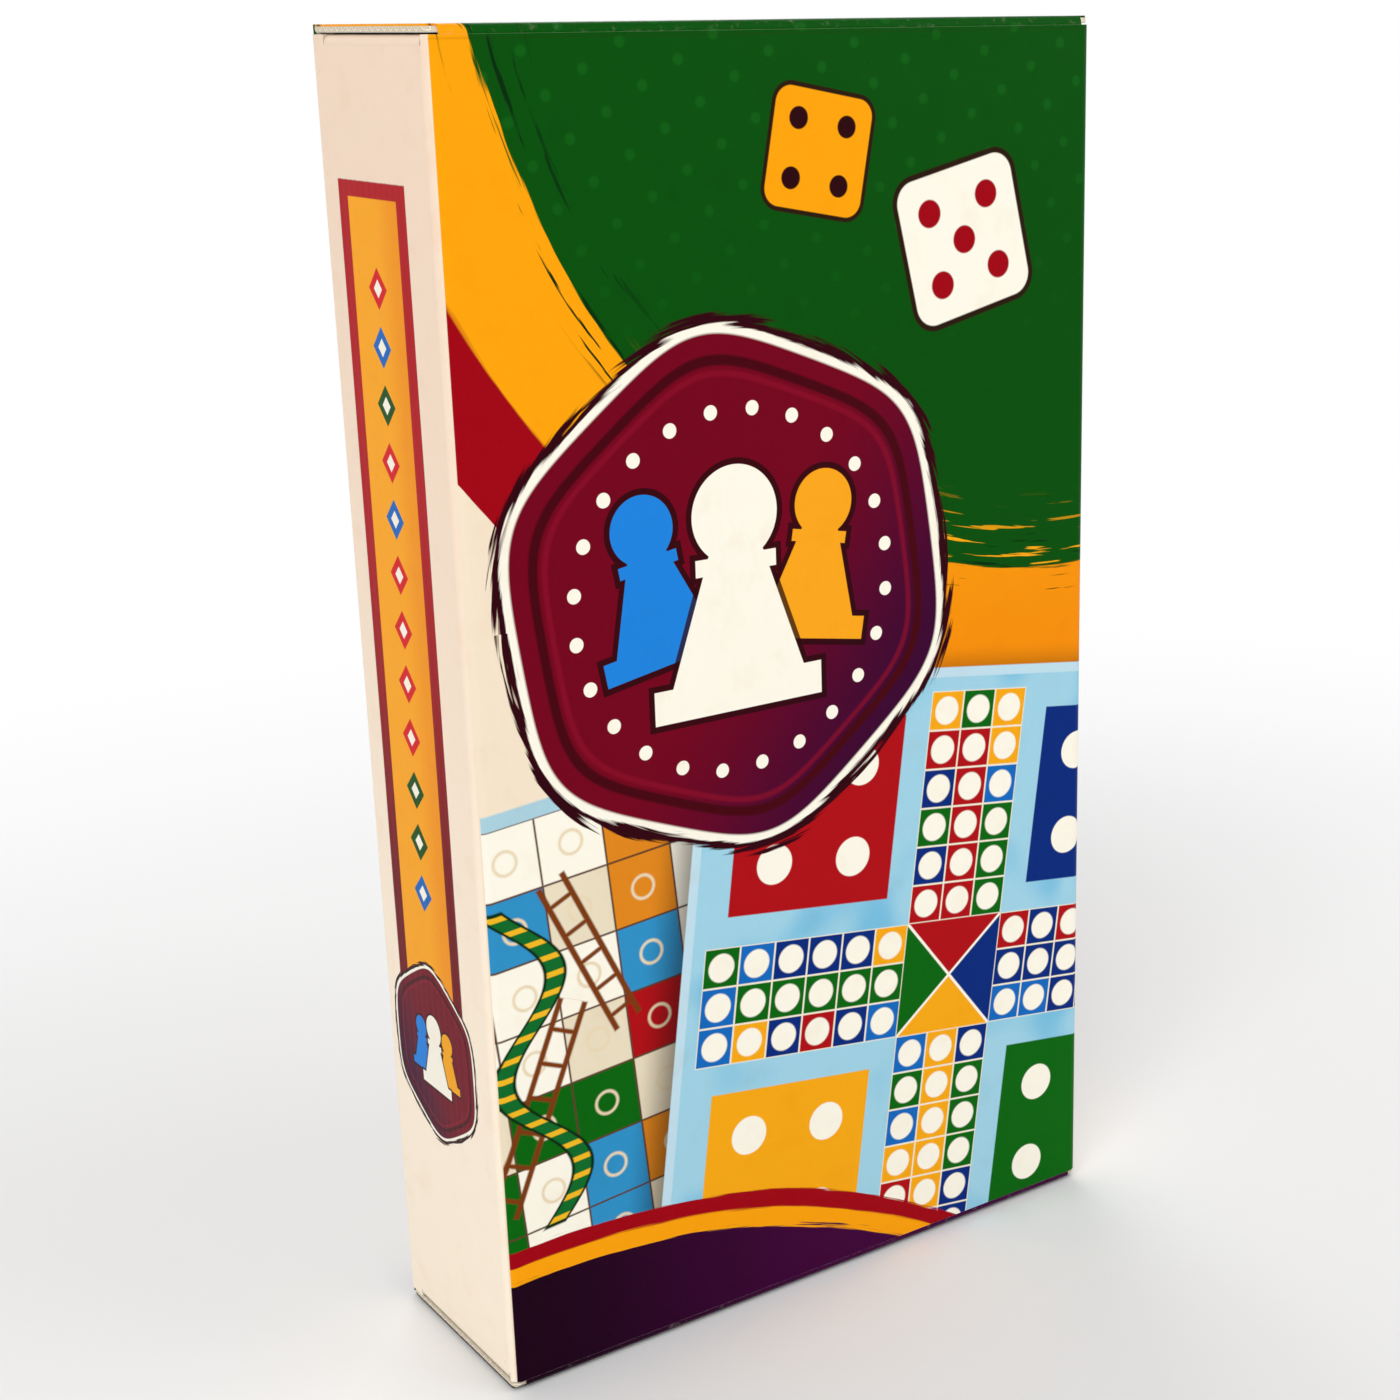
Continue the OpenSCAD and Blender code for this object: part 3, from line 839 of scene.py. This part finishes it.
def paper_material(name, base, dark, rough):
    """Paper or card with drawn-out fibres and darker flecks."""
    material, tree, shader = start_material(name)
    p = place_of(tree)
    fibre = noise(tree, scaled(tree, p, (1.0, 1.0, 0.3)), 1.2, 5.0, 0.65)
    colour = paint(tree, base, dark, smooth(fibre, -0.1, 0.3))
    fleck = noise(tree, p, 2.2, 2.0, 0.4)
    colour = paint(tree, colour, dark, over(fleck, 0.26, 0.04) * 0.7)
    tree.links.new(colour, shader.inputs["Base Color"])
    tree.links.new((fibre * 0.2 + rough).socket, shader.inputs["Roughness"])
    bump(tree, shader, fibre * 0.03 * MM)
    return material, tree, shader, p, colour


def leaflet_material():
    """Rules leaflet with framed chips and no lettering."""
    material, tree, shader, p, paper = paper_material("leaflet_print", "F3F1EA", "E4E0D4", 0.6)
    x, _, z = parts_of(tree, p)
    q = placed(tree, vec(tree, x, z), (0.0, 120.0), 0.0, 22.0)
    qx, qy, _ = parts_of(tree, q)
    lx, ly, _ = parts_of(tree, in_cell(tree, q))
    limit = most(abs(qx) - 2.0, abs(qy + 2.0) - 3.0)
    tile = most(abs(most(abs(lx), abs(ly)) - 0.36) - 0.012, limit)
    paper = paint(tree, paper, "7C0A24", inside(tile, 0.02))
    chip = most(length(tree, vec(tree, lx, ly)) - 0.16, limit)
    tone = pick(tree, hash_of(tree, q), (SIGNAL, SUN, LEAF, NAVY))
    paper = paint(tree, paper, tone, inside(chip, 0.03))
    tree.links.new(paper, shader.inputs["Base Color"])
    return material


def plastic_material(name, colour, worn):
    """Moulded plastic, a little cloudy."""
    material, tree, shader = start_material(name)
    p = place_of(tree)
    cloud = noise(tree, p, 0.35, 3.0)
    tone = paint(tree, colour, worn, smooth(cloud, -0.1, 0.4) * 0.5)
    tree.links.new(tone, shader.inputs["Base Color"])
    tree.links.new((noise(tree, p, 0.8, 4.0) * 0.16 + 0.26).socket, shader.inputs["Roughness"])
    shader.inputs["Subsurface Weight"].default_value = 0.08
    shader.inputs["Subsurface Radius"].default_value = (0.002, 0.001, 0.001)
    bump(tree, shader, noise(tree, p, 1.2, 3.0) * 0.02 * MM)
    return material, tree, shader, p, tone


def die_material(name):
    """Ivory plastic with dark paint in the pips."""
    material, tree, shader, p, tone = plastic_material(f"{name}_finish", "F4F1E6", "FFFFFF")
    lo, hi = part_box(name)
    centre = tuple(c / MM for c in (lo + hi) / 2)
    half = (hi.x - lo.x) / 2 / MM
    x, y, z = parts_of(tree, p)
    reach = most(abs(x - centre[0]), abs(y - centre[1]), abs(z - centre[2]))
    # under a face, and not on the rounded corners
    pit = under(reach, half - 0.03, 0.02) * under(length(tree, p, centre), half * math.sqrt(2), 0.1)
    tree.links.new(paint(tree, tone, "161214", pit), shader.inputs["Base Color"])
    return material


def turned(name, profile, centres, foot, material):
    """Pieces turned from a profile of (radius, height) points, in millimetres."""
    steps = 40
    angles = [math.tau * k / steps for k in range(steps)]
    verts, faces = [], []
    for cx, cy in centres:
        rings = []
        for radius, height in profile:
            if radius < 1e-4:
                rings.append([len(verts)])
                verts.append((cx, cy, foot + height))
                continue
            rings.append(list(range(len(verts), len(verts) + steps)))
            verts += [(cx + radius * math.cos(a), cy + radius * math.sin(a), foot + height)
                      for a in angles]
        for low, high in zip(rings, rings[1:]):
            for k in range(steps):
                following = (k + 1) % steps
                corners = (low[k % len(low)], low[following % len(low)],
                           high[following % len(high)], high[k % len(high)])
                # a ring of one point closes with triangles
                faces.append(list(dict.fromkeys(corners)))
    mesh = bpy.data.meshes.new(name)
    mesh.from_pydata([tuple(c * MM for c in v) for v in verts], [], faces)
    mesh.polygons.foreach_set("use_smooth", [True] * len(mesh.polygons))
    mesh.materials.append(material)
    mesh.validate()
    mesh.update()
    obj = bpy.data.objects.new(name, mesh)
    bpy.context.collection.objects.link(obj)
    return obj


def rounded_rim(radius, middle, bead):
    """Half a circle of radius bead that stands out as far as radius."""
    angles = [math.pi * (k / 8 - 0.5) for k in range(9)]
    return [(radius - bead + bead * math.cos(a), middle + bead * math.sin(a)) for a in angles]


def pawn_profile(height, radius):
    """Rounded foot, waisted skirt, collar and ball head."""
    foot_h, collar_h = height * 0.14, height * 0.03
    head_r = radius * 0.62
    collar_z = height - head_r * 2.04
    waist_start, waist_end = radius * 0.8, radius * 0.3
    points = [(0.0, 0.35), (radius * 0.7, 0.35), (radius * 0.8, 0.0)]
    points += rounded_rim(radius, foot_h / 2, foot_h / 2)
    for k in range(1, 13):
        t = k / 13
        waist = waist_end + (waist_start - waist_end) * (1 - t) ** 1.35
        points.append((waist, foot_h + (collar_z - foot_h) * t))
    points += rounded_rim(radius * 0.55, collar_z, collar_h)
    for k in range(3, 17):
        angle = math.pi * (k / 16 - 0.5)
        across = head_r * math.cos(angle) if k < 16 else 0.0
        points.append((across, height - head_r + head_r * math.sin(angle)))
    return points


def pawn_set(tone, colour, worn):
    """Four pawns of one colour, two by two."""
    lo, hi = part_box(f"{tone}_pawns")
    # the feet reach as far as the box on all sides, with GAP between the front and back ones
    radius = ((hi.y - lo.y) / MM - GAP) / 4
    centres = [(cx, cy) for cx in (lo.x / MM + radius, hi.x / MM - radius)
               for cy in (lo.y / MM + radius, hi.y / MM - radius)]
    profile = pawn_profile((hi.z - lo.z) / MM, radius)
    plastic = plastic_material(f"{tone}_plastic_finish", colour, worn)[0]
    set_of_four = turned(f"{tone}_pawn_set", profile, centres, lo.z / MM, plastic)
    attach(set_of_four, "sleeve")
    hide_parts(f"{tone}_pawns")


leaf = leaf_material()
for i in range(1, 9):
    assign(f"board_leaf_{i}", leaf)
fold = paper_material("fold_print", FOLD_BLUE, "2C66B0", 0.45)[0]
assign("board_side_folds", fold)
assign("board_end_folds", fold)
assign("piece_tray", paper_material("tray_board", "C2A478", "A98A5F", 0.8)[0])
assign("rules_leaflet", leaflet_material())
for tone, colour, worn in (("red", "C8141C", "DA3A3A"), ("yellow", "F5B81A", "FFD04A"),
                           ("green", "0E7A2C", "2C9A48"), ("blue", "1C55BE", "3F78D8")):
    pawn_set(tone, colour, worn)
for die in ("die_1", "die_2"):
    assign(die, die_material(die))


# ---- liner over the creases of the flaps ----

def strip_mesh(name, profile, start, end, inward, up, inner_from):
    """A profile of (inward, up) points drawn from start to end, in millimetres.

    Points of the profile from inner_from on are marked as the liner's inner side.
    """
    start, end, inward, up = map(Vector, (start, end, inward, up))
    sections, count = 24, len(profile)
    verts = []
    for k in range(sections + 1):
        base = start.lerp(end, k / sections)
        verts += [(base + inward * u + up * v) * MM for u, v in profile]
    faces = []
    for k in range(sections):
        for i in range(count):
            j = (i + 1) % count
            faces.append((k * count + i, k * count + j, (k + 1) * count + j, (k + 1) * count + i))
    faces.append(tuple(range(count - 1, -1, -1)))
    faces.append(tuple(range(sections * count, (sections + 1) * count)))
    mesh = bpy.data.meshes.new(name)
    mesh.from_pydata(verts, [], faces)
    mark = mesh.attributes.new("inner", "FLOAT", "POINT")
    mark.data.foreach_set("value", [float(i % count >= inner_from) for i in range(len(verts))])
    mesh.validate()
    mesh.update()
    # outward faces
    bm = bmesh.new()
    bm.from_mesh(mesh)
    bmesh.ops.recalc_face_normals(bm, faces=bm.faces)
    bm.to_mesh(mesh)
    bm.free()
    for face in mesh.polygons:
        face.use_smooth = len(face.vertices) == 4
    mesh.set_sharp_from_angle(angle=math.radians(40))
    obj = bpy.data.objects.new(name, mesh)
    bpy.context.collection.objects.link(obj)
    return obj


CREASE_STEPS = 10
INNER_FROM = CREASE_STEPS + 3    # the first inner point of a crease's profile
SINK = 0.004                     # how far a strip's outer side lies under the bend
UP = {"top": 1, "bottom": -1}


def crease_profile():
    """Liner that turns from the panel's face into the flap's face."""
    skin = 0.27       # depth of the strip's inner side
    tuck_in = 0.06    # how far the strip runs on past the bend
    low = -(BOARD + LINER) - tuck_in

    def turn(depth, k):
        angle = math.pi / 2 * k / CREASE_STEPS
        return BEND - (BEND - depth) * math.cos(angle), -BOARD + (BOARD - depth) * math.sin(angle)

    outer = [turn(SINK, k) for k in range(CREASE_STEPS + 1)]
    inner = [turn(skin, k) for k in range(CREASE_STEPS, -1, -1)]
    past_bend = [(BEND + tuck_in, -SINK), (BEND + tuck_in, -skin)]
    return [(SINK, low)] + outer + past_bend + inner + [(skin, low)]


def crease_material(name, printed, spread):
    """Print on a crease, so that it runs on from the panel beside it, painted paler in patches as
    rubbed wear and painted highlight.
    """
    material, tree, shader = start_material(name)
    p = place_of(tree)
    # patches painted paler on the crease: rubbed wear and painted highlight
    rub_and_highlight = noise(tree, p, 0.45, 4.0, 0.7)
    art = paint(tree, printed(tree, p), RUB_AND_HIGHLIGHT, smooth(rub_and_highlight, 0.05, 0.35) * 0.2)
    inner = tree.nodes.new("ShaderNodeAttribute")
    inner.attribute_name = "inner"
    art = paint(tree, art, liner_colour(tree, p), inner.outputs["Fac"])
    tree.links.new(art, shader.inputs["Base Color"])
    tree.links.new((noise(tree, p, 0.5, 3.0) * 0.2 + 0.4).socket, shader.inputs["Roughness"])
    shader.inputs["Specular IOR Level"].default_value = PRINT_SHEEN
    bump(tree, shader, noise(tree, scaled(tree, p, spread), 1.0, 4.0) * 0.06 * MM)
    return material


ALONG_X, ALONG_Y = (0.5, 2.0, 2.0), (2.0, 0.5, 2.0)
lid_creases = {"top": crease_material("top_crease_print", top_place, ALONG_X),
               "bottom": crease_material("bottom_crease_print", bottom_place, ALONG_X)}
dust_crease = crease_material("side_crease_print", side_place, ALONG_Y)
tuck_crease = crease_material("tuck_crease_print", cream_place, ALONG_X)


def lid_strip(end):
    """Strip over a lid's crease, from the front panel to the lid."""
    sign, edge = UP[end], upmost(end, H)
    skin = strip_mesh(f"{end}_lid_liner", crease_profile(), (-LID_CORNER_X, LID_Y, edge),
                      (LID_CORNER_X, LID_Y, edge), (0, 1, 0), (0, 0, sign), INNER_FROM)
    skin.data.materials.append(lid_creases[end])
    on_panel = (0, LID_Y * MM, (edge - sign * (BOARD + LINER)) * MM)
    on_lid = (0, (LID_Y + BEND) * MM, edge * MM)
    if end == "top":
        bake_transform(skin)
    else:
        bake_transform(skin)


def dust_strip(end, side, s):
    """Strip over a dust flap's crease, from the side panel to the flap."""
    sign, ledge = UP[end], upmost(end, SIDE_TOP)
    skin = strip_mesh(f"{end}_{side}_dust_liner", crease_profile(),
                      (s * DUST_X, DUST_FRONT + 0.02, ledge), (s * DUST_X, DUST_BACK - 0.02, ledge),
                      (-s, 0, 0), (0, 0, sign), INNER_FROM)
    skin.data.materials.append(dust_crease)
    s * DUST_X * MM
    (ledge - sign * (BOARD + LINER)) * MM
    s * (DUST_X - BEND) * MM
    ledge * MM
    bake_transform(skin)


def tuck_web(end):
    """Web that joins the tuck flap to the bead of its crease."""
    sign, level = UP[end], upmost(end, TUCK_Z)
    down = (0, -math.sin(TUCK_LEAN), -sign * math.cos(TUCK_LEAN))
    out = (0, math.cos(TUCK_LEAN), -sign * math.sin(TUCK_LEAN))
    half, near, far = BOARD / 2 - SINK, 0.2, TUCK_START + 0.08
    profile = [(far, half), (near, half - 0.05), (near, -half + 0.05), (far, -half)]
    web = strip_mesh(f"{end}_tuck_liner", profile, (-TUCK_W / 2, TUCK_Y, level),
                     (TUCK_W / 2, TUCK_Y, level), down, out, 2)
    web.data.materials.append(tuck_crease)
    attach(web, f"{end}_tuck")


for end in UP:
    lid_strip(end)
    dust_strip(end, "left", -1)
    dust_strip(end, "right", 1)
    tuck_web(end)


# ---- stage, light and camera ----

FLOOR_Z = -0.65 * MM             # just low enough for the bottom crease to open above it
TARGET = (0, 0, 0.13)            # what the lamps point at
# The camera stands where the carton's seven visible corners put it
PICTURE_PX = 1400                # width of the photograph
FOCAL_PX = 2296.4                # focal length
AXIS_PX = 200                    # the lens axis lies this far right of the picture's middle
SENSOR = 36.0
CAMERA_PLACE = (-0.2548, -0.4047, 0.2707)
AZIMUTH, ELEVATION, ROLL = math.radians(36.31), math.radians(16.63), math.radians(-0.63)


def seen_directly(tree):
    """1 for the rays that show a surface, 0 for those that only light the part."""
    rays = tree.nodes.new("ShaderNodeLightPath")
    names = ("Is Camera Ray", "Is Glossy Ray", "Is Transmission Ray")
    return most(*(Num(tree, rays.outputs[name]) for name in names))


def mix_shaders(tree, share, first, second):
    node = tree.nodes.new("ShaderNodeMixShader")
    feed(tree, node.inputs[0], share)
    tree.links.new(first.outputs[0], node.inputs[1])
    tree.links.new(second.outputs[0], node.inputs[2])
    return node.outputs[0]


def background(tree, strength):
    node = tree.nodes.new("ShaderNodeBackground")
    node.inputs["Color"].default_value = (1.0, 1.0, 1.0, 1.0)
    node.inputs["Strength"].default_value = strength
    return node


def white_floor():
    """Pale floor that turns into the white of the room away from the carton."""
    bpy.ops.mesh.primitive_plane_add(size=40.0, location=(0, 0, FLOOR_Z))
    floor = bpy.context.object
    floor.name = "floor"
    material, tree, shader = start_material("pale_floor")
    tree.nodes.remove(shader)
    coordinates = tree.nodes.new("ShaderNodeTexCoord")
    away = length(tree, coordinates.outputs["Object"])
    diffuse = tree.nodes.new("ShaderNodeBsdfDiffuse")
    diffuse.inputs["Color"].default_value = (0.88, 0.88, 0.88, 1.0)
    glow = tree.nodes.new("ShaderNodeEmission")
    mixed = mix_shaders(tree, smooth(away, 0.12, 0.6) * seen_directly(tree), diffuse, glow)
    tree.links.new(mixed, tree.nodes["Material Output"].inputs["Surface"])
    floor.data.materials.append(material)


def white_room():
    """A white background that lights the part with half its strength."""
    world = bpy.data.worlds.new("studio")
    bpy.context.scene.world = world
    world.use_nodes = True
    tree = world.node_tree
    tree.nodes.clear()
    output = tree.nodes.new("ShaderNodeOutputWorld")
    mixed = mix_shaders(tree, seen_directly(tree), background(tree, 0.52), background(tree, 1.0))
    tree.links.new(mixed, output.inputs["Surface"])


def lamp(name, place, size, power):
    data = bpy.data.lights.new(name, "AREA")
    data.size, data.energy = size, power
    obj = bpy.data.objects.new(name, data)
    obj.location = place
    obj.rotation_euler = (Vector(TARGET) - Vector(place)).to_track_quat("-Z", "Y").to_euler()
    bpy.context.collection.objects.link(obj)


def photo_camera():
    """Camera that sees the carton as the photograph does."""
    forward = Vector((math.sin(AZIMUTH) * math.cos(ELEVATION), math.cos(AZIMUTH) * math.cos(ELEVATION),
                      -math.sin(ELEVATION)))
    level = forward.cross(Vector((0, 0, 1))).normalized()
    upright = level.cross(forward)
    right = level * math.cos(ROLL) + upright * math.sin(ROLL)
    up = upright * math.cos(ROLL) - level * math.sin(ROLL)
    data = bpy.data.cameras.new("camera")
    data.sensor_width = SENSOR
    data.lens = FOCAL_PX / PICTURE_PX * SENSOR
    data.shift_x = -AXIS_PX / PICTURE_PX
    data.clip_start = 0.01
    camera = bpy.data.objects.new("camera", data)
    turn = Matrix((right, up, -forward)).transposed().to_4x4()
    camera.matrix_world = Matrix.Translation(CAMERA_PLACE) @ turn
    bpy.context.collection.objects.link(camera)
    bpy.context.scene.camera = camera


bpy.context.scene.view_settings.view_transform = "Standard"
white_floor()
white_room()
lamp("key", (-1.1, -0.9, 1.1), 0.9, 12.5)
lamp("fill", (1.0, -1.0, 0.8), 1.0, 6.0)
lamp("rear", (0.3, 1.2, 0.9), 1.0, 7.0)
photo_camera()
